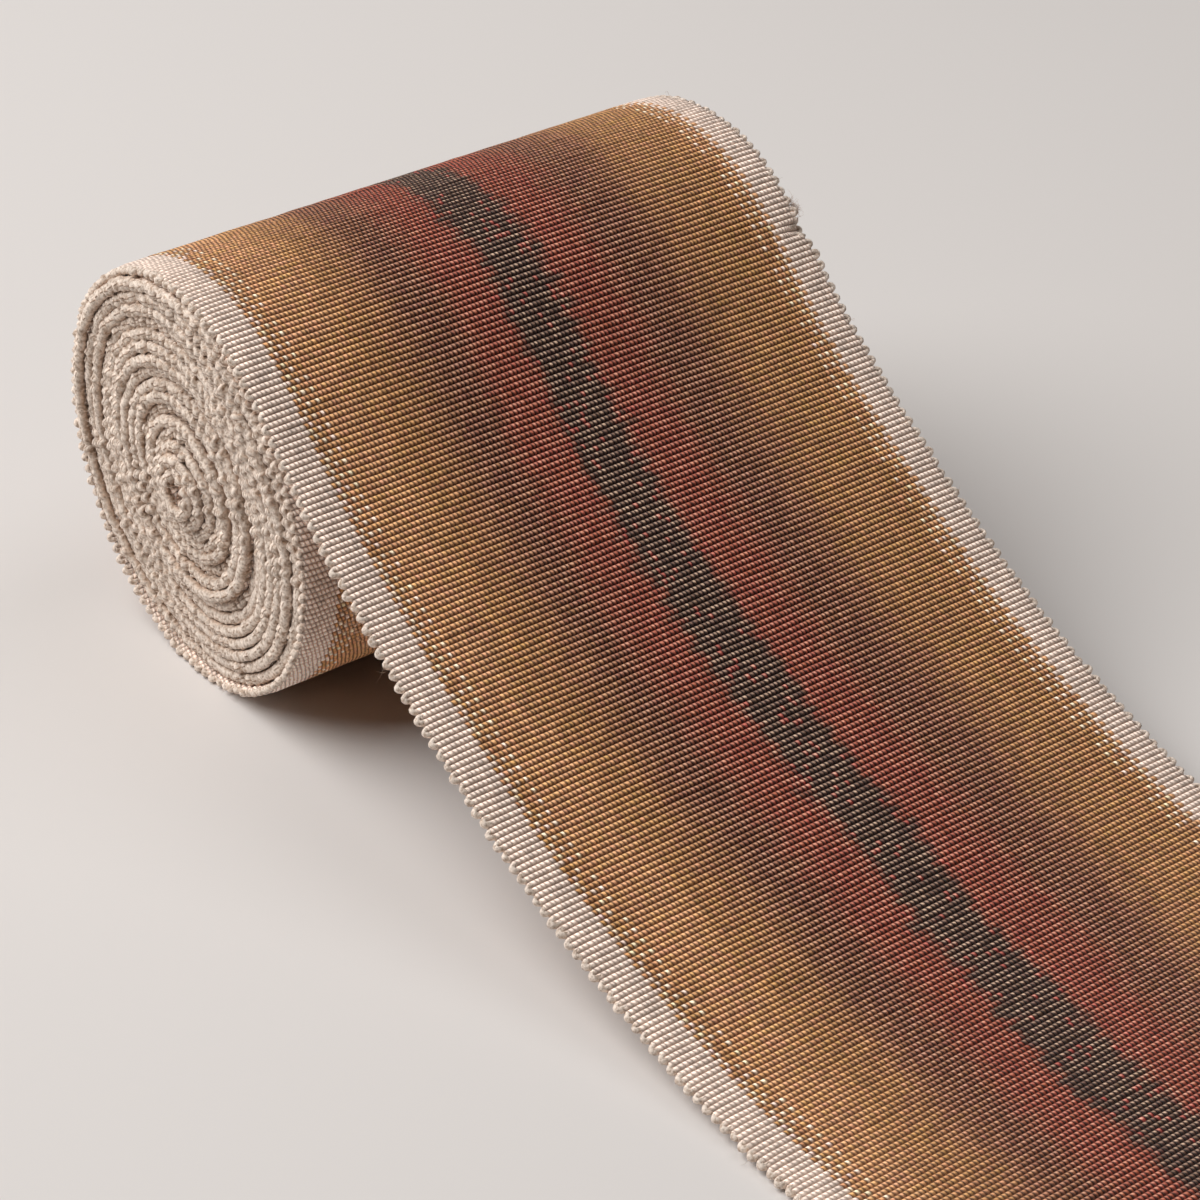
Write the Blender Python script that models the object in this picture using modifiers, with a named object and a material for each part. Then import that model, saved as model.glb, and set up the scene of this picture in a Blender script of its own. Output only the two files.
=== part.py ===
"""A ribbed cotton tape trim, wound in a roll, with its loose end drawn off the top and laid flat.

The whole trim is one strip of cloth. Its middle line is a path in the XZ plane that starts at the
core, runs round the roll in a spiral, leaves the roll a little past its top, slopes down and ends
flat on the surface. The strip spans that path along Y, and is then given its thickness.
+X points along the loose end, +Y along the roll's axis, and the surface is z = 0.
"""

import math

import bmesh
import bpy

MM = 0.001

# The cloth
TAPE_WIDTH = 76.0 * MM
THICKNESS = 1.2 * MM

# The roll. Radii run from its axis to the middle of the cloth.
TOP_RADIUS = 26.3 * MM
TURN_PITCH = 1.5 * MM
TURNS = 16.4
FLAT_DEPTH = 0.3 * MM
LEAVING_ANGLE = math.radians(35.0)

# How far a straight step may stand off the true curve, and the length of a step off the roll.
SAGITTA = 0.07 * MM
LOOSE_STEP = 3.0 * MM

# The loose end: distance along the tape from where it leaves the roll, and slope below level.
# columns: distance in mm, slope in degrees
LOOSE_SLOPES = (
    (0.0, 35.0),
    (7.0, 42.5),
    (11.0, 42.0),
    (20.0, 35.5),
    (27.0, 33.0),
    (52.0, 30.0),
    (60.0, 26.5),
    (88.0, 15.5),
    (104.0, 5.0),
    (116.0, 0.0),
    (148.0, 0.0),
)

# The tape drifts sideways as it winds. Each wave adds to the drift.
# columns: height in mm, wavelength along the tape in mm, place of a crest in mm from the roll's top
DRIFT_WAVES = (
    (0.50, 124.0, -2.0),
    (0.25, 297.0, -60.0),
)

CLOTH_COLOUR = (0.34, 0.17, 0.09, 1.0)
CLOTH_ROUGHNESS = 0.9

BOTTOM_RADIUS = TOP_RADIUS - TURN_PITCH / 2
FLAT_SHARE = (BOTTOM_RADIUS - FLAT_DEPTH) / BOTTOM_RADIUS
AXIS_HEIGHT = BOTTOM_RADIUS * FLAT_SHARE + THICKNESS / 2


def clear_scene():
    for obj in list(bpy.data.objects):
        bpy.data.objects.remove(obj)


def roll_point(turns_back):
    """The middle of the cloth, that many turns back from the top of the roll.

    The lowest stretch of each turn is flattened, as the roll settles on the surface.
    """
    radius = TOP_RADIUS - TURN_PITCH * turns_back
    angle = math.pi / 2 + math.tau * turns_back
    lowest = TOP_RADIUS - TURN_PITCH * (math.floor(turns_back) + 0.5)
    z = max(radius * math.sin(angle), -FLAT_SHARE * lowest)
    return radius * math.cos(angle), AXIS_HEIGHT + z


def roll_path():
    """Points from the core to the top of the roll, closer together where the turns are tighter."""
    points = []
    turns_back = 0.0
    while turns_back < TURNS:
        points.append(roll_point(turns_back))
        radius = TOP_RADIUS - TURN_PITCH * turns_back
        turns_back += math.sqrt(8 * SAGITTA / radius) / math.tau
    points.append(roll_point(TURNS))
    points.reverse()
    return points


def leaving_arc():
    """Points past the top of the roll, where the tape still lies on the turn below it."""
    steps = math.ceil(TOP_RADIUS * LEAVING_ANGLE / LOOSE_STEP)
    points = []
    for step in range(1, steps + 1):
        angle = LEAVING_ANGLE * step / steps
        points.append((TOP_RADIUS * math.sin(angle), AXIS_HEIGHT + TOP_RADIUS * math.cos(angle)))
    return points


def slope_at(distance):
    """The loose end's slope, read between the rows of its table, in radians."""
    for (start, slope), (end, next_slope) in zip(LOOSE_SLOPES, LOOSE_SLOPES[1:]):
        if distance <= end * MM:
            share = (distance / MM - start) / (end - start)
            return math.radians(slope + (next_slope - slope) * share)
    return 0.0


def loose_path(start):
    """Points down the loose end, fitted in height so that its last stretch lies on the surface."""
    length = LOOSE_SLOPES[-1][0] * MM
    steps = math.ceil(length / LOOSE_STEP)
    step = length / steps
    x, z = start
    points = []
    for index in range(steps):
        slope = slope_at((index + 0.5) * step)
        x += step * math.cos(slope)
        z -= step * math.sin(slope)
        points.append((x, z))
    rest_height = THICKNESS / 2
    stretch = (start[1] - rest_height) / (start[1] - z)
    return [(px, rest_height + (pz - z) * stretch) for px, pz in points]


def tape_path():
    """The whole path as (x, z) points, and the number of the point at the top of the roll."""
    points = roll_path()
    top = len(points) - 1
    points += leaving_arc()
    points += loose_path(points[-1])
    return points, top


def distances_from(points, origin):
    """Each point's distance along the path from one of the points, negative before it."""
    distances = [0.0]
    for (x0, z0), (x1, z1) in zip(points, points[1:]):
        distances.append(distances[-1] + math.hypot(x1 - x0, z1 - z0))
    return [distance - distances[origin] for distance in distances]


def drift(distance):
    """How far the tape has moved along the roll's axis at a place along its length."""
    total = 0.0
    for height, wavelength, crest in DRIFT_WAVES:
        total += height * MM * math.cos(math.tau * (distance / MM - crest) / wavelength)
    return total


def cloth_material():
    material = bpy.data.materials.new("ribbed_cotton")
    material.use_nodes = True
    shader = material.node_tree.nodes["Principled BSDF"]
    shader.inputs["Base Color"].default_value = CLOTH_COLOUR
    shader.inputs["Roughness"].default_value = CLOTH_ROUGHNESS
    shader.inputs["Metallic"].default_value = 0.0
    return material


def strip_mesh(points, drifts):
    """An open strip: one selvedge drawn along the path, then extruded across the tape's width.

    It is centred on the origin, counting the half thickness of cloth still to come behind the roll.
    """
    back = min(x for x, _ in points) - THICKNESS / 2
    front = max(x for x, _ in points)
    middle_x = (back + front) / 2
    middle_y = (min(drifts) + max(drifts)) / 2
    mesh = bpy.data.meshes.new("tape")
    bm = bmesh.new()
    near = []
    for (x, z), sideways in zip(points, drifts):
        near.append(bm.verts.new((x - middle_x, sideways - middle_y - TAPE_WIDTH / 2, z)))
    edges = [bm.edges.new(pair) for pair in zip(near, near[1:])]
    across = bmesh.ops.extrude_edge_only(bm, edges=edges)
    far = [item for item in across["geom"] if isinstance(item, bmesh.types.BMVert)]
    bmesh.ops.translate(bm, verts=far, vec=(0.0, TAPE_WIDTH, 0.0))
    bm.to_mesh(mesh)
    bm.free()
    return mesh


def build_tape(collection):
    points, top = tape_path()
    drifts = [drift(distance) for distance in distances_from(points, top)]
    mesh = strip_mesh(points, drifts)
    mesh.materials.append(cloth_material())
    mesh.shade_smooth()
    tape = bpy.data.objects.new("tape", mesh)
    collection.objects.link(tape)
    body = tape.modifiers.new("cloth_thickness", "SOLIDIFY")
    body.thickness = THICKNESS
    body.offset = 0.0
    body.use_even_offset = True
    return tape


def main():
    clear_scene()
    collection = bpy.data.collections.new("tape_trim")
    bpy.context.scene.collection.children.link(collection)
    build_tape(collection)


main()
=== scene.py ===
"""The looks of a ribbed cotton tape trim, wound in a roll with its loose end laid flat in front.

The tape's middle line is worked out as in the part's own source: from the core round the roll to its
top, then off the roll and down to the surface. Every piece is built in the tape's own coordinates
(distance along it, distance across it, height off its middle) and bent onto that line by Tape.place.
"""

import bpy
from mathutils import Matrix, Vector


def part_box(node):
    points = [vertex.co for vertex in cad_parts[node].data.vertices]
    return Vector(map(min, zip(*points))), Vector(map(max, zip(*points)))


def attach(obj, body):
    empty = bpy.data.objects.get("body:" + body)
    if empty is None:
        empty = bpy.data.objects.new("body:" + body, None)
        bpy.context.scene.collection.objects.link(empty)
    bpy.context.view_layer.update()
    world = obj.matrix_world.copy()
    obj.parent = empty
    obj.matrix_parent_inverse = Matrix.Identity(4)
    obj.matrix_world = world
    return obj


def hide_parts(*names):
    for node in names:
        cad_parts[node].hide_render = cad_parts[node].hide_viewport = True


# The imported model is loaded, and its box kept, before anything is added to it.
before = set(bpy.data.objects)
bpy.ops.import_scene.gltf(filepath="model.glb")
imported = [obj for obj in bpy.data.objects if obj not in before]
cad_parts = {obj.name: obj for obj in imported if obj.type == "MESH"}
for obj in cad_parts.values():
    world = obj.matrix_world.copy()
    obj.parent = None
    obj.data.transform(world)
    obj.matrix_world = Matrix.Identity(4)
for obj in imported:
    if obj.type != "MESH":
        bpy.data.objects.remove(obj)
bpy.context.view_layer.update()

import math

import bpy
import numpy as np
from mathutils import Matrix, Vector

MM = 0.001

# The tape, as in the part's source
TAPE_WIDTH = 76.0 * MM
THICKNESS = 1.2 * MM
TOP_RADIUS = 26.3 * MM
TURN_PITCH = 1.5 * MM
TURNS = 16.4
FLAT_DEPTH = 0.3 * MM
LEAVING_ANGLE = math.radians(35.0)
BOTTOM_RADIUS = TOP_RADIUS - TURN_PITCH / 2
FLAT_SHARE = (BOTTOM_RADIUS - FLAT_DEPTH) / BOTTOM_RADIUS
AXIS_HEIGHT = BOTTOM_RADIUS * FLAT_SHARE + THICKNESS / 2

# The loose end: distance along the tape from where it leaves the roll, and slope below level.
# columns: distance in mm, slope in degrees
LOOSE_SLOPES = (
    (0.0, 35.0),
    (7.0, 42.5),
    (11.0, 42.0),
    (20.0, 35.5),
    (27.0, 33.0),
    (52.0, 30.0),
    (60.0, 26.5),
    (88.0, 15.5),
    (104.0, 5.0),
    (116.0, 0.0),
    (148.0, 0.0),
)

# columns: height in mm, wavelength along the tape in mm, place of a crest in mm from the roll's top
DRIFT_WAVES = (
    (0.50, 124.0, -2.0),
    (0.25, 297.0, -60.0),
)

# The weave
RIB_PITCH = TAPE_WIDTH / 102
BEADS_ACROSS = 140
LAST_RIB = 219
FIRST_OUTER_RIB = -200
RIB_PROFILE = ((-0.5, 0.0), (-0.40, 0.60), (-0.21, 0.91), (0.0, 1.0), (0.21, 0.91), (0.40, 0.60))
COARSE_PROFILE = ((-0.5, 0.0), (-0.25, 0.86), (0.0, 1.0), (0.25, 0.86))
OUTER_CREST = 0.60 * MM
INNER_CREST = 0.70 * MM
VALLEY_DEPTH = 0.34 * MM

# Stretches of the tape, as distances from the roll's top: where the ribs thicken, where the turns
# start to stand unevenly, where the weft's turns press on each other, and where felting starts
RIBS_THICKEN = (-60 * MM, -120 * MM)
TURNS_STEP = (-100 * MM, -230 * MM)
LOOPS_PRESSED = (-130 * MM, -170 * MM)
FELTING_STARTS = (-150 * MM, -170 * MM)

# The cloth's unevenness: its waves, the lumps along each rib, and the slubs.
# Each pair is the least and the most, in mm.
WAVE_HEIGHT = 0.035 * MM
WAVE_LENGTHS = (5.0, 28.0)
LUMP_HEIGHT = 0.014 * MM
LUMP_LENGTHS = (2.5, 11.0)
SLUB_REACH = (1.5, 4.5)
SLUB_HEIGHT = (0.04, 0.14)

# A place on the far selvedge where the weft has pulled in
NOTCH_AT = 21.3 * MM
NOTCH_REACH = 0.9 * MM
NOTCH_DEPTH = 1.1 * MM

LINE_STEP = 0.2 * MM
SEED = 7


def smooth_step(low, high, value):
    share = np.clip((value - low) / (high - low), 0.0, 1.0)
    return share * share * (3 - 2 * share)


class Tape:
    """The tape's middle line, and the way onto it from the tape's own coordinates."""

    def __init__(self, front_x):
        x, z, top = self.line()
        along = np.concatenate([[0.0], np.cumsum(np.hypot(np.diff(x), np.diff(z)))])
        self.along = along - along[top]
        self.x = x + (front_x - x[-1])
        self.z = z
        self.heading = np.unwrap(np.arctan2(np.gradient(z), np.gradient(x)))
        waves = self.drift_waves(self.along)
        self.drift_middle = (waves.min() + waves.max()) / 2
        self.axis_x = front_x - x[-1]
        self.start = float(self.along[0])
        self.end = float(self.along[-1])

    @staticmethod
    def line():
        """x and z along the middle line in steps of about LINE_STEP, and the number of the top point."""
        length = math.pi * TURNS * (2 * TOP_RADIUS - TURN_PITCH * TURNS)
        turns_back = np.linspace(TURNS, 0.0, int(length / LINE_STEP))
        radius = TOP_RADIUS - TURN_PITCH * turns_back
        angle = math.pi / 2 + math.tau * turns_back
        lowest = TOP_RADIUS - TURN_PITCH * (np.floor(turns_back) + 0.5)
        roll_x = radius * np.cos(angle)
        roll_z = AXIS_HEIGHT + np.maximum(radius * np.sin(angle), -FLAT_SHARE * lowest)

        arc = np.arange(LINE_STEP, TOP_RADIUS * LEAVING_ANGLE, LINE_STEP) / TOP_RADIUS
        arc_x = TOP_RADIUS * np.sin(arc)
        arc_z = AXIS_HEIGHT + TOP_RADIUS * np.cos(arc)

        table = np.array(LOOSE_SLOPES)
        reach = np.arange(LINE_STEP / 2, table[-1, 0] * MM, LINE_STEP)
        slope = np.radians(np.interp(reach / MM, table[:, 0], table[:, 1]))
        loose_x = arc_x[-1] + np.cumsum(np.cos(slope)) * LINE_STEP
        fall = np.cumsum(np.sin(slope)) * LINE_STEP
        drop = arc_z[-1] - THICKNESS / 2
        loose_z = arc_z[-1] - fall * drop / fall[-1]
        x = np.concatenate([roll_x, arc_x, loose_x])
        z = np.concatenate([roll_z, arc_z, loose_z])
        return x, z, len(roll_x) - 1

    @staticmethod
    def drift_waves(s):
        total = np.zeros_like(s)
        for height, wavelength, crest in DRIFT_WAVES:
            total = total + height * MM * np.cos(math.tau * (s / MM - crest) / wavelength)
        return total

    def telescope(self, s):
        """How far the inner turns stand back from, or out of, the outermost one, at their near side."""
        depth = smooth_step(*TURNS_STEP, s)
        radius = np.sqrt(np.maximum(s - self.start, 0.0) * TURN_PITCH / math.pi)
        steps = 0.20 * np.sin(radius / MM * 1.9) + 0.13 * np.sin(radius / MM * 4.3 + 1.0)
        return depth * (0.35 + steps) * MM - 0.9 * MM * (1 - smooth_step(2 * MM, 8 * MM, radius))

    def place(self, s, across, lift):
        """Points in the frame, from distances along and across the tape and heights off its middle."""
        s, across, lift = np.broadcast_arrays(s, across, lift)
        pull = np.exp(-(((s - NOTCH_AT) / NOTCH_REACH) ** 2))
        edge = smooth_step(TAPE_WIDTH - 3.0 * MM, TAPE_WIDTH, across)
        across = across - NOTCH_DEPTH * pull * edge
        lift = lift - 0.5 * NOTCH_DEPTH * pull * edge
        x = np.interp(s, self.along, self.x)
        z = np.interp(s, self.along, self.z)
        heading = np.interp(s, self.along, self.heading)
        y = across - TAPE_WIDTH / 2 + self.drift_waves(s) - self.drift_middle + self.telescope(s)
        return np.stack([x - np.sin(heading) * lift, y, z + np.cos(heading) * lift], axis=-1)


def waviness(s, across, rng, height, lengths, count=6):
    """A smooth, low relief over the cloth: a sum of slanted waves with seeded directions."""
    total = np.zeros(np.broadcast(s, across).shape)
    for _ in range(count):
        wave_s = rng.uniform(*lengths) * MM
        wave_y = rng.uniform(*lengths) * MM * rng.choice((-1, 1))
        total += np.sin(math.tau * (s / wave_s + across / wave_y) + rng.uniform(0, math.tau))
    return total * height / math.sqrt(count)


def new_mesh(name, points, faces, uv, uv_name):
    """A mesh object from arrays: points, faces of equal size, and a UV for each point."""
    mesh = bpy.data.meshes.new(name)
    size = faces.shape[1]
    corners = faces.astype(np.int32).ravel()
    mesh.vertices.add(len(points))
    mesh.vertices.foreach_set("co", points.astype(np.float32).ravel())
    mesh.loops.add(len(corners))
    mesh.loops.foreach_set("vertex_index", corners)
    mesh.polygons.add(len(faces))
    mesh.polygons.foreach_set("loop_start", np.arange(0, len(corners), size, dtype=np.int32))
    layer = mesh.uv_layers.new(name=uv_name)
    layer.uv.foreach_set("vector", uv.astype(np.float32)[corners].ravel())
    mesh.update(calc_edges=True)
    mesh.validate()
    mesh.shade_smooth()
    piece = bpy.data.objects.new(name, mesh)
    bpy.context.scene.collection.objects.link(piece)
    return piece


def grid_faces(rows, columns, first=0):
    """Quads over a grid of points, facing away from a viewer whose rows run up and columns right."""
    row, column = np.meshgrid(np.arange(rows - 1), np.arange(columns - 1), indexing="ij")
    corner = (first + row * columns + column).ravel()
    return np.stack([corner, corner + columns, corner + columns + 1, corner + 1], axis=1)


def border_faces(top, bottom):
    """Quads that join two matching lines of points."""
    return np.stack([top[:-1], top[1:], bottom[1:], bottom[:-1]], axis=1)


def ribbed_cloth(name, tape, first_rib, last_rib, profile, columns, rng):
    """A length of the tape with its cross ribs raised on both faces, as one closed mesh."""
    ribs = np.arange(first_rib, last_rib + 1)
    local = np.array([t for t, _ in profile])
    height = np.array([h for _, h in profile])
    place_in_weave = np.append((ribs[:, None] + local[None, :]).ravel(), last_rib + 0.5)
    raised = np.append(np.tile(height, len(ribs)), 0.0)
    rib_of_row = np.append(np.repeat(np.arange(len(ribs)), len(local)), len(ribs) - 1)

    across = np.array(columns) * TAPE_WIDTH
    s = place_in_weave[:, None] * RIB_PITCH
    y = across[None, :]
    shift = waviness(s, y, rng, WAVE_HEIGHT, WAVE_LENGTHS)
    lumps = np.zeros((len(ribs), len(columns)))
    for _ in range(4):
        phase = rng.uniform(0, math.tau, (len(ribs), 1))
        wavelength = rng.uniform(*LUMP_LENGTHS, (len(ribs), 1)) * MM
        lumps += np.sin(math.tau * across[None, :] / wavelength + phase)
    lumps *= LUMP_HEIGHT
    for _ in range(len(ribs) // 3):
        rib = rng.integers(len(ribs))
        middle = rng.uniform(0.03, 0.97) * TAPE_WIDTH
        reach = rng.uniform(*SLUB_REACH) * MM
        lumps[rib] += rng.uniform(*SLUB_HEIGHT) * MM * np.exp(-((across - middle) / reach) ** 2)
    inner = smooth_step(*RIBS_THICKEN, s)
    crest = OUTER_CREST + (INNER_CREST - OUTER_CREST) * inner - 0.03 * MM
    edge = np.minimum(across, TAPE_WIDTH - across)[None, :]
    rounded = 0.72 + 0.28 * smooth_step(0.1 * MM, 1.3 * MM, edge)
    half = (crest - VALLEY_DEPTH * (1 - raised[:, None])) * rounded + lumps[rib_of_row] * raised[:, None]

    s_end = np.clip(s + shift, tape.start, tape.end)
    top = tape.place(s_end, y, half).reshape(-1, 3)
    bottom = tape.place(s_end, y, -half).reshape(-1, 3)
    rows, width = half.shape
    count = rows * width
    number = np.arange(count).reshape(rows, width)
    faces = np.concatenate([
        grid_faces(rows, width)[:, ::-1],
        grid_faces(rows, width, count),
        border_faces(number[:, 0], number[:, 0] + count),
        border_faces(number[::-1, -1], number[::-1, -1] + count),
        border_faces(number[0, ::-1], number[0, ::-1] + count),
        border_faces(number[-1, :], number[-1, :] + count),
    ])
    u = np.broadcast_to(across[None, :] / TAPE_WIDTH, half.shape).ravel()
    v = np.broadcast_to(place_in_weave[:, None] + 0.5, half.shape).ravel()
    uv = np.tile(np.stack([u, v], axis=1), (2, 1))
    return new_mesh(name, np.concatenate([top, bottom]), faces, uv, "weave")


# The weft's turn at a selvedge: a tube along two ribs' ends and round the arc that joins them
LOOP_LEGS = (1.7 * MM, 0.95 * MM)
LOOP_ARC_STEPS = 6
LOOP_ROOT = 0.34 * MM
LOOP_REACH = 0.60 * MM
LOOP_HALF_WIDTH = 0.335 * MM
LOOP_HALF_HEIGHT = 0.46 * MM
LOOP_SINK = 0.09 * MM
LOOP_SIDES = 6
OUT_SCATTER = 0.09 * MM
ALONG_SCATTER = 0.04 * MM
LIFT_SCATTER = 0.03 * MM
TILT_SCATTER = 0.08

# Where the turns' edges have felted into a smooth cord: direction from the roll's axis and half
# width of the stretch, in degrees from level at the loose end's side, and how far out from the axis.
# columns: direction, half width, least radius in mm, most radius in mm
FELTED = (
    (185.0, 48.0, 21.0, 30.0),
    (150.0, 30.0, 11.0, 15.0),
    (-50.0, 45.0, 11.0, 30.0),
    (60.0, 14.0, 2.0, 9.0),
)


def felted(tape, s):
    """How far the edge has felted at a distance along the tape, from 0 to 1."""
    radius = np.sqrt(np.maximum(s - tape.start, 0.0) * TURN_PITCH / math.pi) / MM
    x = np.interp(s, tape.along, tape.x) - tape.axis_x
    z = np.interp(s, tape.along, tape.z) - AXIS_HEIGHT
    direction = np.degrees(np.arctan2(z, x))
    share = np.zeros_like(s)
    for middle, half_width, least, most in FELTED:
        off = np.abs((direction - middle + 180) % 360 - 180)
        fit = smooth_step(half_width + 12, half_width - 12, off)
        fit = fit * smooth_step(least - 1.5, least + 1.5, radius)
        fit = fit * smooth_step(most + 1.5, most - 1.5, radius)
        share = np.maximum(share, fit)
    patchy = 0.58 + 0.30 * np.sin(s / MM / 2.3) + 0.26 * np.sin(s / MM / 0.83 + 1.0)
    return share * np.clip(patchy, 0.0, 1.0) * smooth_step(*FELTING_STARTS, s)


def tubes(points, sides, closing):
    """Faces of many like tubes, from points by tube, ring and side. Both ends are closed."""
    count, rings = points.shape[:2]
    ring_at, side_at = np.meshgrid(np.arange(rings - 1), np.arange(sides), indexing="ij")
    here = (ring_at * sides + side_at).ravel()
    beside = (ring_at * sides + (side_at + 1) % sides).ravel()
    tube = np.stack([here, here + sides, beside + sides, beside], axis=1)
    last = (rings - 1) * sides
    caps = [list(corners) for corners in closing]
    caps += [[last + corner for corner in reversed(corners)] for corners in closing]
    tube = np.concatenate([tube, np.array(caps)])
    shift = np.arange(count)[:, None, None] * rings * sides
    return (tube[None] + shift).reshape(-1, 4)


def selvedge_loops(name, tape, far, rng):
    """The weft's turns along one selvedge, each joining two ribs, as one mesh of closed tubes."""
    first = math.ceil(tape.start / RIB_PITCH)
    offset = 1 if far else 0
    starts = np.array([rib for rib in range(first + 1, LAST_RIB) if (rib - offset) % 2 == 0])
    count = len(starts)
    s_middle = (starts + 0.5) * RIB_PITCH

    arc = np.linspace(0, math.pi, LOOP_ARC_STEPS + 1)
    y_line = np.concatenate([LOOP_LEGS, LOOP_ROOT - LOOP_REACH * np.sin(arc), LOOP_LEGS[::-1]])
    leg = -RIB_PITCH / 2
    s_line = np.concatenate([[leg, leg], leg * np.cos(arc), [-leg, -leg]])
    along_s, along_y = np.gradient(s_line), np.gradient(y_line)
    length = np.hypot(along_s, along_y)
    side_s, side_y = -along_y / length, along_s / length
    turn = (np.arange(LOOP_SIDES) + 0.5) / LOOP_SIDES * math.tau

    inside = smooth_step(*LOOPS_PRESSED, s_middle)[:, None, None]
    felt = felted(tape, s_middle)[:, None, None]
    loose = 1 - 0.75 * felt
    size = rng.uniform(0.9, 1.1, (count, 1, 1))
    spread = 1 + 0.7 * inside * loose
    out = rng.normal(0, OUT_SCATTER, (count, 1, 1)) * spread - LOOP_SINK * inside - 0.12 * MM * felt
    along = rng.normal(0, ALONG_SCATTER, (count, 1, 1)) * spread
    lift = rng.normal(0, LIFT_SCATTER, (count, 1, 1)) * (1 + 2.2 * inside * loose)
    tilt = rng.normal(0, TILT_SCATTER, (count, 1, 1)) * (1 + 3.4 * inside * loose)
    half_width = LOOP_HALF_WIDTH * size * (1 + 0.15 * inside)
    half_height = LOOP_HALF_HEIGHT * size * (1 + 0.60 * inside) * (1 - 0.15 * felt)

    ring = np.cos(turn)[None, None, :]
    rise = np.sin(turn)[None, None, :]
    bulge = smooth_step(1.7 * MM, 0.5 * MM, y_line)
    slim = (0.66 + 0.34 * bulge)[None, :, None]
    s_tube = s_line[None, :, None] + side_s[None, :, None] * ring * half_width
    y_tube = y_line[None, :, None] + side_y[None, :, None] * ring * half_width
    y_tube = y_tube - out * bulge[None, :, None]
    h_tube = rise * half_height * slim + (lift + tilt * s_line[None, :, None]) * bulge[None, :, None]
    s_all = np.clip(s_middle[:, None, None] + s_tube + along, tape.start, tape.end)
    y_all = TAPE_WIDTH - y_tube if far else y_tube
    points = tape.place(s_all, y_all, h_tube)
    faces = tubes(points, LOOP_SIDES, ((0, 1, 2, 3), (0, 3, 4, 5)))
    if far:
        faces = faces[:, ::-1]
    run = np.concatenate([[0.0], np.cumsum(np.hypot(np.diff(s_line), np.diff(y_line)))])
    shape = points.shape[:3]
    # u tells undyed_weft where to paint shade and highlight: pressed loops run from -1 to 1 round the tube,
    # loose loops keep between 0.10 and 0.25, where the yarn gets its painted highlight and no painted side
    # shade.
    side_of_tube = np.linspace(-1, 1, LOOP_SIDES)[None, None, :]
    u = side_of_tube * inside + (0.10 + 0.15 * np.abs(side_of_tube)) * (1 - inside)
    u = np.broadcast_to(u, shape)
    v = np.broadcast_to((run / MM)[None, :, None], shape) + starts[:, None, None] * 0.37
    uv = np.stack([u.ravel(), v.ravel()], axis=1)
    return new_mesh(name, points.reshape(-1, 3), faces, uv, "yarn")


# The felted yarn along the edge of the wound turns. Its wavelengths are in mm.
CORD_STEP = 0.42 * MM
CORD_SIDES = 8
CORD_HALF_WIDTH = 0.55 * MM
CORD_HALF_HEIGHT = 0.71 * MM
CORD_FLATNESS = 0.62
CORD_GRAIN = 0.035 * MM
CORD_WAVE = 0.05 * MM
CORD_WAVELENGTHS = (1.3, 1.7, 2.9, 4.7)


def felted_cord(name, tape, far, rng):
    """The matted yarn along the edge of the wound turns, between and under the loops."""
    s = np.arange(tape.start + 1.0 * MM, FELTING_STARTS[0], CORD_STEP)
    turn = np.arange(CORD_SIDES) / CORD_SIDES * math.tau
    ring = np.sign(np.cos(turn)) * np.abs(np.cos(turn)) ** CORD_FLATNESS
    rise = np.sign(np.sin(turn)) * np.abs(np.sin(turn)) ** CORD_FLATNESS
    felt = felted(tape, s)[:, None]
    uneven = np.zeros_like(s)
    for wavelength in CORD_WAVELENGTHS:
        uneven += np.sin(math.tau * s / (wavelength * MM) + rng.uniform(0, math.tau))
    uneven = uneven[:, None] * CORD_WAVE
    y_middle = 0.36 * MM - 0.30 * MM * felt + uneven
    ring_number = np.arange(len(s))
    from_end = np.minimum(ring_number, len(s) - 1 - ring_number)[:, None]
    taper = 0.2 + 0.8 * smooth_step(0, 3, from_end)
    width = CORD_HALF_WIDTH * taper
    height = (CORD_HALF_HEIGHT * (1 - 0.08 * felt) + uneven * 0.5) * taper
    y = y_middle + ring[None, :] * width + rng.normal(0, CORD_GRAIN, (len(s), CORD_SIDES))
    lift = rise[None, :] * height + rng.normal(0, CORD_GRAIN, (len(s), CORD_SIDES))
    y = TAPE_WIDTH - y if far else y
    points = tape.place(s[:, None], y, lift)[None]
    faces = tubes(points, CORD_SIDES, ((0, 1, 2, 3), (0, 3, 4, 7), (4, 5, 6, 7)))
    if not far:
        faces = faces[:, ::-1]
    # u is highest on the cord's sides, where undyed_weft paints shade between the turns.
    u = np.broadcast_to(np.abs(np.linspace(-1, 1, CORD_SIDES))[None, :], y.shape)
    v = np.broadcast_to((s / MM)[:, None], y.shape)
    uv = np.stack([u.ravel(), v.ravel()], axis=1)
    return new_mesh(name, points.reshape(-1, 3), faces, uv, "yarn")


# Loose fibres: tufts at named places, and strays along the selvedges.
# columns: distance along the tape in mm, place across as a share of the width, number, length in mm
TUFTS = (
    (46.0, -0.004, 14, 4.0),
    (49.0, -0.004, 16, 3.5),
    (53.0, -0.004, 6, 3.0),
    (18.6, 1.004, 130, 1.5),
    (21.3, 0.994, 20, 1.2),
    (34.0, 1.004, 4, 1.8),
    (-121.0, -0.002, 10, 3.5),
    (-128.0, -0.002, 6, 6.0),
)
STRAYS = 110
FIBRE_RADIUS = 0.016 * MM
FIBRE_RINGS = 12
FIBRE_SIDES = 4


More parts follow.
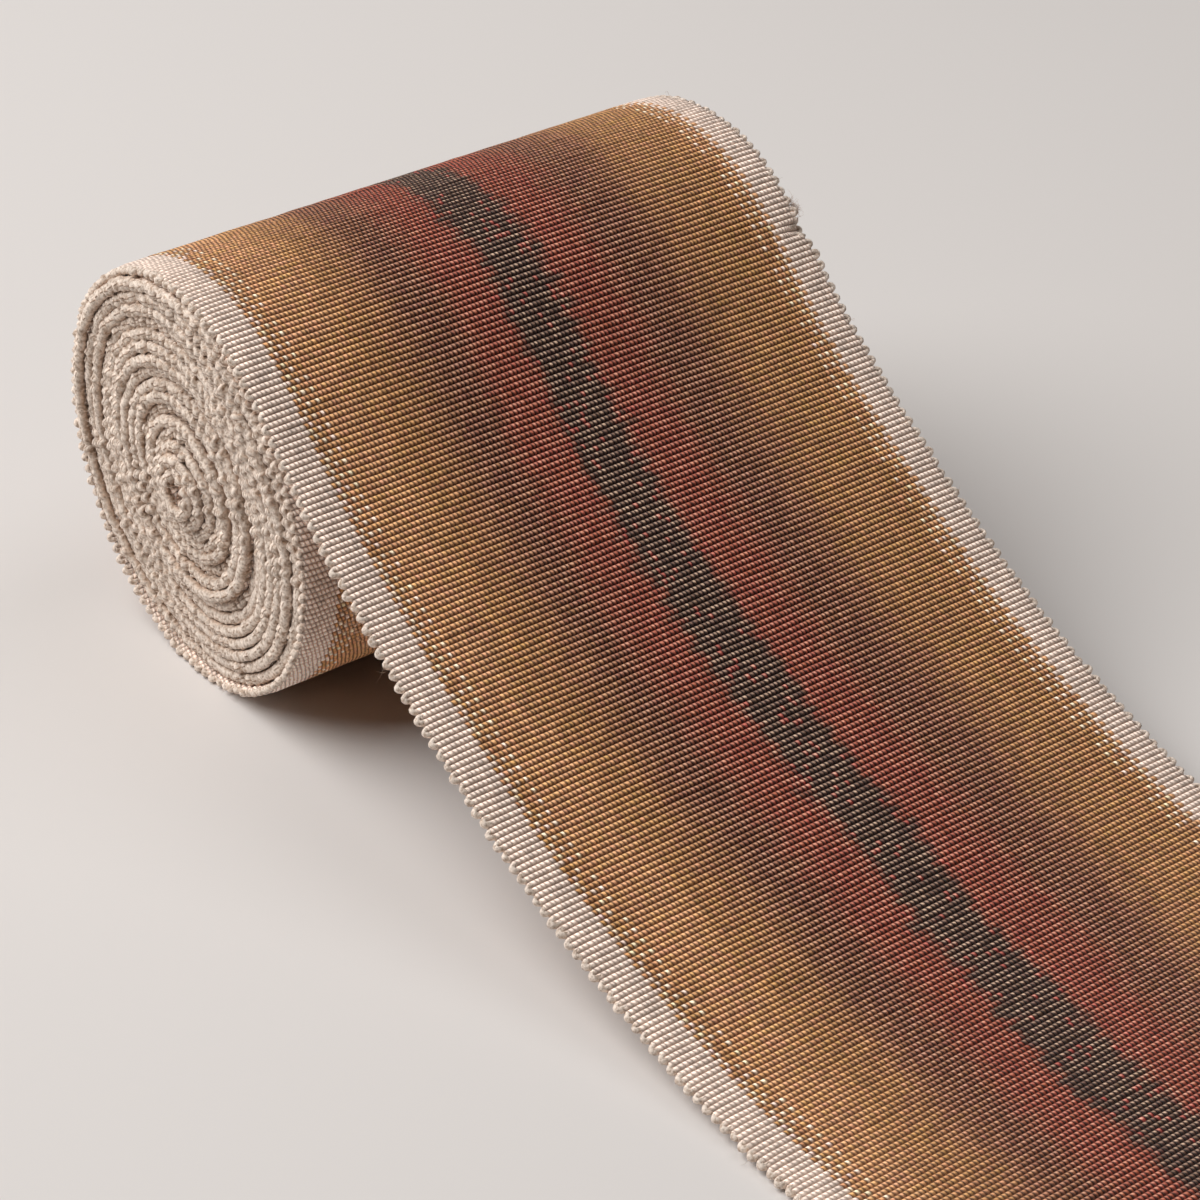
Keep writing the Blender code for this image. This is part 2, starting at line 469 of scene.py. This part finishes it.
def fibres(name, tape, rng):
    """Fine curled fibres that stand out of the selvedges."""
    roots = []
    for s, share, number, length in TUFTS:
        for _ in range(number):
            roots.append((s * MM + rng.normal(0, 0.6 * MM), share, length * MM * rng.uniform(0.5, 1.1)))
    for _ in range(STRAYS):
        s = rng.uniform(tape.start * 0.9, 140 * MM)
        roots.append((s, rng.choice((-0.004, 1.004)), rng.uniform(0.8, 2.4) * MM))
    lines = []
    for s, share, length in roots:
        side = -1.0 if share < 0.5 else 1.0
        start = tape.place(s, share * TAPE_WIDTH, rng.normal(0, 0.3 * MM))
        heading = Vector((rng.normal(0, 0.8), side * rng.uniform(0.5, 1.2), rng.normal(0.0, 0.7)))
        heading = heading.normalized()
        bend = Vector(rng.normal(0, 1, 3)) * 0.75
        turn = Vector(rng.normal(0, 1, 3)) * 0.45
        point = Vector(start)
        line = []
        for _ in range(FIBRE_RINGS):
            line.append(tuple(point))
            heading = (heading + bend * 0.5).normalized()
            bend = bend + turn
            point = point + heading * length / FIBRE_RINGS
            point.z = max(point.z, 2 * FIBRE_RADIUS)
        lines.append(line)
    lines = np.array(lines)
    forward = np.gradient(lines, axis=1)
    forward /= np.linalg.norm(forward, axis=2, keepdims=True) + 1e-9
    side = np.cross(forward, np.array([0.21, 0.13, 0.97]))
    side /= np.linalg.norm(side, axis=2, keepdims=True) + 1e-9
    other = np.cross(forward, side)
    turn = np.arange(FIBRE_SIDES) / FIBRE_SIDES * math.tau
    thin = np.linspace(1.0, 0.5, FIBRE_RINGS)[None, :, None, None] * FIBRE_RADIUS
    ring = side[:, :, None, :] * np.cos(turn)[:, None] + other[:, :, None, :] * np.sin(turn)[:, None]
    points = lines[:, :, None, :] + ring * thin
    points[..., 2] = np.maximum(points[..., 2], 0.0)
    faces = tubes(points, FIBRE_SIDES, ((0, 1, 2, 3),))[:, ::-1]
    uv = np.zeros((points[..., 0].size, 2))
    return new_mesh(name, points.reshape(-1, 3), faces, uv, "yarn")


def srgb(red, green, blue):
    """A colour as a screen shows it, 0 to 255, in linear light."""
    def linear(value):
        share = value / 255
        return share / 12.92 if share <= 0.04045 else ((share + 0.055) / 1.055) ** 2.4
    return linear(red), linear(green), linear(blue), 1.0


# Undyed yarn and the painted shade in its grooves and hollows, dyed yarn from the selvedges to the middle,
# pale bead tops that are partly worn yarn and partly painted highlight, stray beads, tints, and painted
# shade for the cloth's valleys and the gaps between beads
CREAM = srgb(235, 215, 202)
YARN = srgb(229, 214, 201)
# Tan: the yarn's mottling, and painted shade on its sides and in its hollows
TAN_AND_SHADE = srgb(188, 159, 136)
# Painted shade for the groove between the yarn's plies
SPLIT_SHADE = srgb(150, 114, 88)
WHITE = srgb(248, 230, 210)
PALE_OCHRE = srgb(217, 165, 121)
OCHRE = srgb(199, 149, 103)
DEEP_OCHRE = srgb(186, 136, 96)
UMBER = srgb(169, 118, 89)
PURPLE_BROWN = srgb(154, 101, 78)
RED_BROWN = srgb(165, 98, 76)
RED = srgb(170, 88, 70)
CHARCOAL = srgb(95, 68, 59)
# Pale tops of beads: partly worn yarn, partly painted highlight
WORN_AND_HIGHLIGHT_TIP = srgb(196, 170, 146)
STRAY_RED = srgb(188, 84, 76)
OLIVE_TINT = (0.90, 0.96, 0.62, 1.0)
MAUVE_TINT = (1.0, 0.88, 1.04, 1.0)
# Painted shade for the valleys and the gaps between beads, on dyed and on undyed yarn
PAINTED_VALLEY_SHADE = (0.20, 0.11, 0.055, 1.0)
PAINTED_PALE_VALLEY_SHADE = (0.46, 0.35, 0.27, 1.0)

# The dyed shades across the width.
# columns: place across from the near selvedge as a share of the width, colour
SHADES = (
    (0.05, OCHRE),
    (0.10, PALE_OCHRE),
    (0.145, PALE_OCHRE),
    (0.19, OCHRE),
    (0.245, DEEP_OCHRE),
    (0.285, UMBER),
    (0.315, PURPLE_BROWN),
    (0.335, PURPLE_BROWN),
    (0.36, RED_BROWN),
    (0.39, RED),
    (0.440, RED),
    (0.460, CHARCOAL),
    (0.537, CHARCOAL),
    (0.557, RED),
    (0.615, RED),
    (0.645, RED_BROWN),
    (0.675, PURPLE_BROWN),
    (0.705, PURPLE_BROWN),
    (0.740, UMBER),
    (0.785, DEEP_OCHRE),
    (0.85, OCHRE),
    (0.91, OCHRE),
    (0.94, PALE_OCHRE),
)

# How far the dyed stripes wander across the tape, along its length.
# columns: number of the rib, shift as a share of the width
STRIPE_WANDER = (
    (-1000.0, 0.0),
    (0.0, 0.0),
    (70.0, -0.005),
    (125.0, 0.014),
    (150.0, 0.004),
    (185.0, -0.026),
    (219.0, -0.030),
)
WANDER_UNIT = 0.05

# Undyed warp ends beside each selvedge. Ends are numbered from the near one, BEADS_ACROSS * 2 in all.
# EDGE_ENDS is how many the tables below cover on each side. UNDYED_BEYOND is where the undyed edge
# starts, as a distance from the middle in shares of the width.
EDGE_ENDS = 32
UNDYED_BEYOND = 0.4425

# columns: first end of the run, its colour or None for the dyed shade
NEAR_ENDS = ((0, CREAM), (16, None), (17, CREAM), (18, WHITE), (19, None), (21, WHITE), (22, None),
             (25, WHITE), (26, None))
FAR_ENDS = ((248, None), (256, WHITE), (257, None), (260, WHITE), (261, None), (263, WHITE),
            (264, CREAM), (265, None), (266, CREAM))


# Depth of the fine relief in the two cottons, and the size of the yarn's clouds, mottling and fuzz,
# as a number of them in a metre
BEAD_BUMP = 0.17 * MM
YARN_BUMP = 0.11 * MM
CLOUD_SCALE = 420.0
MOTTLE_SCALE = 2300.0
FUZZ_SCALE = 9000.0


class Nodes:
    """Short calls to build a material's node tree."""

    def __init__(self, name):
        self.material = bpy.data.materials.new(name)
        self.material.use_nodes = True
        self.tree = self.material.node_tree
        self.shader = self.tree.nodes["Principled BSDF"]

    def link(self, value, socket):
        if isinstance(value, bpy.types.NodeSocket):
            self.tree.links.new(value, socket)
        elif value is not None:
            socket.default_value = value

    def math(self, operation, first, second=None, third=None, clamp=False):
        node = self.tree.nodes.new("ShaderNodeMath")
        node.operation = operation
        node.use_clamp = clamp
        for value, socket in zip((first, second, third), node.inputs):
            self.link(value, socket)
        return node.outputs[0]

    def uv(self, name):
        node = self.tree.nodes.new("ShaderNodeUVMap")
        node.uv_map = name
        split = self.tree.nodes.new("ShaderNodeSeparateXYZ")
        self.link(node.outputs[0], split.inputs[0])
        return split.outputs[0], split.outputs[1]

    def vector(self, x, y=0.0, z=0.0):
        node = self.tree.nodes.new("ShaderNodeCombineXYZ")
        for value, socket in zip((x, y, z), node.inputs):
            self.link(value, socket)
        return node.outputs[0]

    def position(self):
        return self.tree.nodes.new("ShaderNodeTexCoord").outputs["Object"]

    def noise(self, vector, scale=1.0, detail=2.0):
        node = self.tree.nodes.new("ShaderNodeTexNoise")
        node.inputs["Scale"].default_value = scale
        node.inputs["Detail"].default_value = detail
        self.link(vector, node.inputs["Vector"])
        return node.outputs[0]

    def random(self, vector):
        node = self.tree.nodes.new("ShaderNodeTexWhiteNoise")
        node.noise_dimensions = "2D"
        self.link(vector, node.inputs["Vector"])
        return node.outputs[0]

    def ramp(self, factor, stops, interpolation):
        node = self.tree.nodes.new("ShaderNodeValToRGB")
        ramp = node.color_ramp
        ramp.interpolation = interpolation
        while len(ramp.elements) < len(stops):
            ramp.elements.new(1.0)
        for element, (place, colour) in zip(ramp.elements, stops):
            element.position = place
            element.color = colour
        self.link(factor, node.inputs[0])
        return node.outputs[0], node.outputs[1]

    def mix(self, factor, first, second, blend="MIX"):
        node = self.tree.nodes.new("ShaderNodeMix")
        node.data_type = "RGBA"
        node.blend_type = blend
        sockets = {s.identifier: s for s in node.inputs}
        self.link(factor, sockets["Factor_Float"])
        self.link(first, sockets["A_Color"])
        self.link(second, sockets["B_Color"])
        return next(s for s in node.outputs if s.identifier == "Result_Color")

    def grey(self, value):
        node = self.tree.nodes.new("ShaderNodeCombineColor")
        for socket in node.inputs:
            self.link(value, socket)
        return node.outputs[0]

    def map_range(self, value, from_low, from_high, to_low, to_high):
        node = self.tree.nodes.new("ShaderNodeMapRange")
        for number, socket in zip((value, from_low, from_high, to_low, to_high), node.inputs):
            self.link(number, socket)
        return node.outputs[0]

    def bump(self, height, distance):
        node = self.tree.nodes.new("ShaderNodeBump")
        node.inputs["Strength"].default_value = 1.0
        node.inputs["Distance"].default_value = distance
        self.link(height, node.inputs["Height"])
        self.link(node.outputs[0], self.shader.inputs["Normal"])

    def finish_cotton(self, colour):
        self.link(colour, self.shader.inputs["Base Color"])
        self.shader.inputs["Roughness"].default_value = 0.85
        self.shader.inputs["Specular IOR Level"].default_value = 0.25
        self.shader.inputs["Sheen Weight"].default_value = 0.12
        self.shader.inputs["Sheen Roughness"].default_value = 0.5
        return self.material


def woven_cotton():
    """The cloth: warp beads along each rib, each in its end's dyed shade, with flecks and streaks, a
    painted highlight on each bead's top, and painted shade in the valleys and in the gaps between beads.
    """
    n = Nodes("woven_cotton")
    across, along = n.uv("weave")
    rib = n.math("FLOOR", along)
    in_rib = n.math("SUBTRACT", n.math("SUBTRACT", along, rib), 0.5)
    odd = n.math("FLOORED_MODULO", rib, 2.0)

    wander = n.noise(n.vector(n.math("MULTIPLY", across, 62.0), n.math("MULTIPLY", rib, 3.7)))
    bead = n.math("MULTIPLY_ADD", across, float(BEADS_ACROSS), -0.25)
    bead = n.math("MULTIPLY_ADD", odd, -0.5, bead)
    bead = n.math("MULTIPLY_ADD", in_rib, -0.42, bead)
    bead = n.math("MULTIPLY_ADD", n.math("SUBTRACT", wander, 0.5), 0.9, bead)
    number = n.math("ROUND", bead)
    beside = n.math("SUBTRACT", bead, number)
    end = n.math("MULTIPLY_ADD", number, 2.0, odd)

    width_share = n.math("DIVIDE", n.math("ADD", end, 0.5), BEADS_ACROSS * 2.0)
    first_rib, last_rib = STRIPE_WANDER[0][0], STRIPE_WANDER[-1][0]
    stops = []
    for number_of_rib, shift in STRIPE_WANDER:
        grey = 0.5 + shift / WANDER_UNIT / 2
        stops.append(((number_of_rib - first_rib) / (last_rib - first_rib), (grey, grey, grey, 1.0)))
    wander_share, _ = n.ramp(n.map_range(rib, first_rib, last_rib, 0.0, 1.0), stops, "EASE")
    wandered = n.math("MULTIPLY_ADD", wander_share, 2 * WANDER_UNIT, -WANDER_UNIT)
    stripes = n.math("SUBTRACT", width_share, wandered)
    dye = n.noise(n.vector(n.math("MULTIPLY", along, 0.045), n.math("MULTIPLY", width_share, 22.0)))
    dye_edge = n.math("MULTIPLY_ADD", n.math("SUBTRACT", dye, 0.5), 0.036, stripes)
    rib_dye = n.noise(n.vector(n.math("MULTIPLY", rib, 0.80), n.math("MULTIPLY", width_share, 15.0), 5.0))
    dye_edge = n.math("MULTIPLY_ADD", n.math("SUBTRACT", rib_dye, 0.5), 0.090, dye_edge)
    shade, _ = n.ramp(dye_edge, SHADES, "LINEAR")

    def edge_ramp(table, first_end):
        stops = []
        for start, colour in table:
            place = (start - first_end) / EDGE_ENDS
            stops.append((place, colour if colour else (0.0, 0.0, 0.0, 0.0)))
        from_first = n.math("SUBTRACT", n.math("ADD", end, 0.5), float(first_end))
        return n.ramp(n.math("DIVIDE", from_first, float(EDGE_ENDS)), stops, "CONSTANT")

    near_colour, near_on = edge_ramp(NEAR_ENDS, 0)
    far_colour, far_on = edge_ramp(FAR_ENDS, 2 * BEADS_ACROSS - EDGE_ENDS)
    round_bead = n.math("MULTIPLY", n.math("MULTIPLY", beside, beside), 4.0)
    round_rib = n.math("MULTIPLY", n.math("MULTIPLY", in_rib, in_rib), 4.0)
    middle = n.math("ABSOLUTE", n.math("SUBTRACT", width_share, 0.5))
    dyed_body = n.math("LESS_THAN", middle, UNDYED_BEYOND)
    luck = n.random(n.vector(number, rib))
    worn = n.math("MAXIMUM", round_bead, round_rib)
    solid = n.math("SUBTRACT", 1.0, n.math("MULTIPLY", n.math("MULTIPLY", worn, dyed_body), 0.60))
    missing = n.math("MULTIPLY", n.math("LESS_THAN", luck, 0.16), dyed_body)
    solid = n.math("MULTIPLY", solid, n.math("SUBTRACT", 1.0, missing))
    shade = n.mix(n.math("MULTIPLY", near_on, solid), shade, near_colour)
    shade = n.mix(n.math("MULTIPLY", far_on, solid), shade, far_colour)

    second_luck = n.random(n.vector(rib, number))
    end_luck = n.random(n.vector(end, 3.0))
    streak = n.noise(n.vector(n.math("MULTIPLY", end, 0.61), n.math("MULTIPLY", along, 0.06)))
    patch = n.noise(n.vector(n.math("MULTIPLY", across, 9.0), n.math("MULTIPLY", along, 0.09)))
    rib_tone = n.noise(n.vector(n.math("MULTIPLY", rib, 0.91), n.math("MULTIPLY", across, 11.0), 9.0))
    tone = n.math("MULTIPLY_ADD", luck, 0.42, 0.54)
    tone = n.math("MULTIPLY_ADD", end_luck, 0.16, tone)
    tone = n.math("MULTIPLY_ADD", streak, 0.30, tone)
    tone = n.math("MULTIPLY_ADD", rib_tone, 0.40, tone)
    tone = n.math("MULTIPLY_ADD", patch, 0.30, n.math("SUBTRACT", tone, 0.12))
    olive = n.math("MULTIPLY_ADD", rib_tone, 1.6, -0.80)
    olive = n.math("MULTIPLY_ADD", second_luck, 0.45, olive, clamp=True)
    olive = n.math("MULTIPLY", olive, dyed_body)
    shade = n.mix(olive, shade, n.mix(1.0, shade, OLIVE_TINT, "MULTIPLY"))

    third_luck = n.random(n.vector(n.math("ADD", number, 500.0), rib))
    mauve = n.math("MULTIPLY", n.math("MULTIPLY", n.math("POWER", third_luck, 2.0), 0.75), dyed_body)
    shade = n.mix(mauve, shade, n.mix(1.0, shade, MAUVE_TINT, "MULTIPLY"))

    # The top side of each bead, where its painted highlight and its pale worn yarn go.
    high_side = n.math("MULTIPLY", n.math("ADD", in_rib, 0.14), 2.7)
    from_tip = n.math("MULTIPLY_ADD", high_side, high_side, n.math("MULTIPLY", round_bead, 1.6))
    worn_and_lit_tip = n.math("SUBTRACT", 1.0, from_tip, clamp=True)

    dark_zone = n.map_range(middle, 0.18, 0.29, 1.0, 0.0)
    charcoal_zone = n.map_range(middle, 0.035, 0.065, 1.0, 0.0)
    near_charcoal = n.map_range(middle, 0.06, 0.10, 1.0, 0.0)
    stray = n.math("MULTIPLY", n.math("GREATER_THAN", second_luck, 0.94), near_charcoal)
    shade = n.mix(n.math("MULTIPLY", stray, 0.8), shade, STRAY_RED)
    # Pale bead tops, partly worn yarn and partly painted highlight, most in the dark shades.
    pale = n.math("MULTIPLY", n.math("MULTIPLY_ADD", luck, 0.62, 0.16), worn_and_lit_tip)
    pale_most = n.math("MULTIPLY_ADD", charcoal_zone, 0.42, n.math("MULTIPLY_ADD", dark_zone, 0.46, 0.12))
    shade = n.mix(n.math("MULTIPLY", pale, pale_most), shade, WORN_AND_HIGHLIGHT_TIP)
    # Painted highlight: each bead's tone is raised at its top and lowered elsewhere.
    tone = n.math("MULTIPLY", tone, n.math("MULTIPLY_ADD", worn_and_lit_tip, 0.66, 0.80))

    # Painted shade: the valleys between ribs and the gaps on the beads' lower side are darkened towards
    # brown, less on undyed yarn.
    valley_shade_tint = n.mix(dyed_body, PAINTED_PALE_VALLEY_SHADE, PAINTED_VALLEY_SHADE)
    shaded_valley = n.mix(1.0, shade, valley_shade_tint, "MULTIPLY")
    low_side = n.math("MAXIMUM", n.math("ADD", in_rib, 0.05), 0.0)
    off_middle = n.math("MULTIPLY_ADD", low_side, 0.34, n.math("ABSOLUTE", beside))
    tooth_shade = n.map_range(off_middle, 0.27, 0.41, 0.0, 1.0)
    tooth_shade_most = n.math("MULTIPLY_ADD", dark_zone, 0.34, n.math("MULTIPLY_ADD", dyed_body, 0.34, 0.30))
    tooth_shade_most = n.math("MULTIPLY", tooth_shade_most, n.map_range(in_rib, -0.30, 0.02, 0.25, 1.0))
    tooth_shade = n.math("MULTIPLY", tooth_shade, tooth_shade_most)
    # Painted shade along the lower and upper edges of each rib.
    low_edge_shade = n.map_range(in_rib, 0.32, 0.50, 0.0, 0.85)
    high_edge_shade = n.map_range(in_rib, -0.36, -0.50, 0.0, 0.55)
    painted_shade = n.math("MAXIMUM", tooth_shade, n.math("MAXIMUM", low_edge_shade, high_edge_shade), clamp=True)
    shade = n.mix(painted_shade, shade, shaded_valley)
    colour = n.mix(1.0, shade, n.grey(tone), "MULTIPLY")
    height = n.math("SQRT", n.math("MAXIMUM", n.math("SUBTRACT", 1.0, round_bead), 0.0))

    fibre = n.noise(n.vector(n.math("MULTIPLY", across, 900.0), n.math("MULTIPLY", along, 2.0)), 1.0, 3.0)
    height = n.math("MULTIPLY", height, n.math("MULTIPLY_ADD", dyed_body, 0.45, 0.55))
    height = n.math("MULTIPLY_ADD", fibre, 0.25, height)
    n.bump(height, BEAD_BUMP)
    return n.finish_cotton(colour)


def undyed_weft():
    """The weft where it turns at the selvedges: soft cream yarn, mottled and a little fuzzy, with painted
    shade along its sides, in its hollows and between its plies, and a painted highlight on its outer faces.
    """
    n = Nodes("undyed_weft")
    around, run = n.uv("yarn")
    place = n.position()
    mottle = n.noise(place, MOTTLE_SCALE, 3.0)
    fuzz = n.noise(place, FUZZ_SCALE, 2.0)
    cloud = n.noise(place, CLOUD_SCALE, 2.0)
    # Painted shade along the groove between the yarn's plies, which the relief below also presses in.
    slant = n.math("MULTIPLY", n.math("SINE", n.math("MULTIPLY", run, 2.4)), 0.05)
    from_split = n.math("ABSOLUTE", n.math("ADD", around, slant))
    split = n.map_range(from_split, 0.0, 0.07, 1.0, 0.0)
    around = n.math("ABSOLUTE", around)
    twist = n.math("SINE", n.math("MULTIPLY_ADD", run, 12.0, n.math("MULTIPLY", around, 7.0)))
    tone = n.math("MULTIPLY_ADD", n.math("SUBTRACT", mottle, 0.5), 1.1, 1.0)
    tone = n.math("MULTIPLY_ADD", n.math("SUBTRACT", fuzz, 0.5), 0.5, tone)
    tone = n.math("MULTIPLY_ADD", n.math("SUBTRACT", cloud, 0.5), 0.5, tone)
    tone = n.math("MULTIPLY_ADD", twist, 0.03, tone)
    # Painted highlight on the yarn's outer faces.
    tone = n.math("MULTIPLY", tone, n.map_range(around, 0.26, 0.10, 1.0, 1.14))
    # Painted shade on the yarn's sides, and tan in its low, mottled hollows, partly yarn colour and partly
    # painted shade.
    shade = n.mix(n.map_range(around, 0.30, 0.85, 0.0, 1.0), YARN, TAN_AND_SHADE)
    shade = n.mix(n.map_range(mottle, 0.52, 0.34, 0.0, 0.75), shade, TAN_AND_SHADE)
    shade = n.mix(n.math("MULTIPLY", split, 0.75), shade, SPLIT_SHADE)
    colour = n.mix(1.0, shade, n.grey(tone), "MULTIPLY")
    relief = n.math("MULTIPLY_ADD", mottle, 1.6, n.math("MULTIPLY", fuzz, 0.5))
    relief = n.math("MULTIPLY_ADD", split, -1.1, relief)
    n.bump(n.math("MULTIPLY_ADD", twist, 0.08, relief), YARN_BUMP)
    return n.finish_cotton(colour)


# The camera, in the roll's own frame: x from its axis, y from its near end face
CAMERA_TARGET = Vector((38.0 * MM, 32.26 * MM, 17.65 * MM))
CAMERA_DISTANCE = 389.6 * MM
CAMERA_AZIMUTH = math.radians(54.28)
CAMERA_ELEVATION = math.radians(33.54)
CAMERA_ROLL = math.radians(-0.53)
SENSOR = 36.0
FOCAL_PIXELS = 3387.9
IMAGE_PIXELS = 1200
LENS = SENSOR * FOCAL_PIXELS / IMAGE_PIXELS


def add_camera(axis_x):
    sin_a, cos_a = math.sin(CAMERA_AZIMUTH), math.cos(CAMERA_AZIMUTH)
    sin_e, cos_e = math.sin(CAMERA_ELEVATION), math.cos(CAMERA_ELEVATION)
    back = Vector((sin_a * cos_e, -cos_a * cos_e, sin_e))
    right = Vector((cos_a, sin_a, 0.0))
    up = back.cross(right)
    tilted_right = right * math.cos(CAMERA_ROLL) + up * math.sin(CAMERA_ROLL)
    tilted_up = up * math.cos(CAMERA_ROLL) - right * math.sin(CAMERA_ROLL)
    target = CAMERA_TARGET + Vector((axis_x, -TAPE_WIDTH / 2, 0.0))
    data = bpy.data.cameras.new("camera")
    data.lens = LENS
    data.sensor_width = SENSOR
    data.clip_start = 0.01
    camera = bpy.data.objects.new("camera", data)
    pose = Matrix((tilted_right, tilted_up, back)).transposed().to_4x4()
    pose.translation = target + back * CAMERA_DISTANCE
    camera.matrix_world = pose
    bpy.context.scene.collection.objects.link(camera)
    bpy.context.scene.camera = camera


# columns: name, direction from the origin, distance and width in m, power in W, colour
AREA_LIGHTS = (
    ("main", (-0.52, -0.58, 1.0), 1.1, 1.1, 14.4, (1.0, 0.985, 0.965)),
    ("back", (0.25, 0.45, 1.0), 1.3, 0.9, 3.2, (1.0, 0.985, 0.975)),
)
WORLD_COLOUR = (1.0, 0.85, 0.72, 1.0)
WORLD_STRENGTH = 0.04
FLOOR_COLOUR = srgb(220, 216, 214)


def add_area_light(name, direction, distance, size, power, colour):
    data = bpy.data.lights.new(name, "AREA")
    data.shape = "DISK"
    data.size = size
    data.energy = power
    data.color = colour
    light = bpy.data.objects.new(name, data)
    towards = Vector(direction).normalized()
    light.location = towards * distance
    light.rotation_euler = towards.to_track_quat("Z", "Y").to_euler()
    bpy.context.scene.collection.objects.link(light)


def add_lights():
    for row in AREA_LIGHTS:
        add_area_light(*row)
    world = bpy.data.worlds.new("studio")
    world.use_nodes = True
    background = world.node_tree.nodes["Background"]
    background.inputs["Color"].default_value = WORLD_COLOUR
    background.inputs["Strength"].default_value = WORLD_STRENGTH
    bpy.context.scene.world = world


def add_floor():
    bpy.ops.mesh.primitive_plane_add(size=4.0, location=(0.0, 0.0, 0.0))
    floor = bpy.context.object
    floor.name = "floor"
    n = Nodes("pale_floor")
    n.shader.inputs["Base Color"].default_value = FLOOR_COLOUR
    n.shader.inputs["Roughness"].default_value = 0.9
    n.shader.inputs["Specular IOR Level"].default_value = 0.2
    floor.data.materials.append(n.material)


# Where the cloth's meshes have their lines of points, as shares of the tape's width
FINE_COLUMNS = np.concatenate([[0.002, 0.009, 0.020], np.linspace(0.04, 0.96, 31), [0.980, 0.991, 0.998]])
COARSE_COLUMNS = (0.004, 0.02, 0.06, 0.5, 0.94, 0.98, 0.996)


def main():
    _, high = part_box("tape")
    tape = Tape(high.x)
    add_camera(tape.axis_x)
    add_lights()
    add_floor()
    bpy.context.scene.view_settings.view_transform = "Standard"

    rng = np.random.default_rng(SEED)
    core_rib = math.ceil(tape.start / RIB_PITCH)
    last_inner_rib = FIRST_OUTER_RIB - 1
    loose = ribbed_cloth("loose_end", tape, 0, LAST_RIB, RIB_PROFILE, FINE_COLUMNS, rng)
    outer = ribbed_cloth("outer_turn", tape, FIRST_OUTER_RIB, -1, RIB_PROFILE, FINE_COLUMNS, rng)
    inner = ribbed_cloth("inner_turns", tape, core_rib, last_inner_rib, COARSE_PROFILE, COARSE_COLUMNS, rng)
    near = selvedge_loops("near_selvedge", tape, False, rng)
    far = selvedge_loops("far_selvedge", tape, True, rng)
    near_cord = felted_cord("near_felted_edge", tape, False, rng)
    far_cord = felted_cord("far_felted_edge", tape, True, rng)
    strays = fibres("loose_fibres", tape, rng)

    woven_pieces = (loose, outer, inner)
    yarn_pieces = (near, far, near_cord, far_cord, strays)
    for pieces, material in ((woven_pieces, woven_cotton()), (yarn_pieces, undyed_weft())):
        for piece in pieces:
            piece.data.materials.append(material)
    for piece in woven_pieces + yarn_pieces:
        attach(piece, "root")
        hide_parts("tape")


main()
